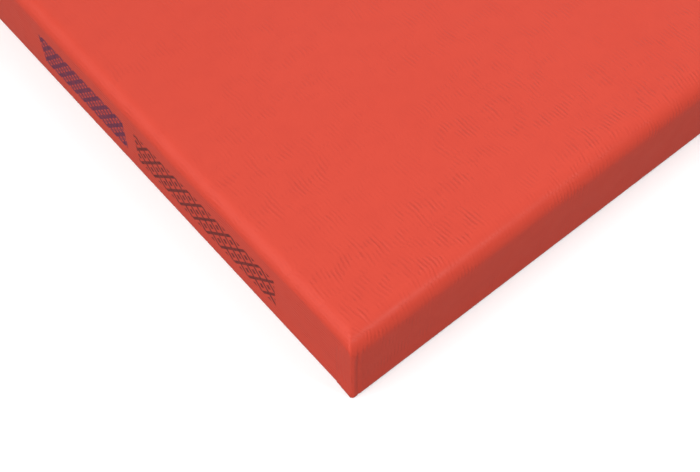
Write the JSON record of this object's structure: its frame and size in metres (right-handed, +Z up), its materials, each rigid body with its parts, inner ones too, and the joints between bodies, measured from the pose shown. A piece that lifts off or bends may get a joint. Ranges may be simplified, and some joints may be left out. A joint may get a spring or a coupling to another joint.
{
  "type": "martial-arts tatami mat",
  "caption": "Flat rectangular martial-arts floor mat: a firm slab in an embossed red vinyl cover, with rounded top edges and small folded corners.",
  "frame": {"origin": "middle of the underside, where the mat lies on the floor", "axes": "+X along the long sides and the embossed rows, +Y along the short sides and the fine ribs, +Z up out of the tread surface; the short side that carries the printed motif faces -X"},
  "size_m": [2, 1, 0.04],
  "materials": {
    "cover": "soft PVC-coated fabric in warm red, satin, embossed with fine straw ribs in 18 mm rows, with a small dark purple printed border motif on one short side"
  },
  "bodies": {
    "root": {"mat": "cover"}
  },
  "joints": []
}
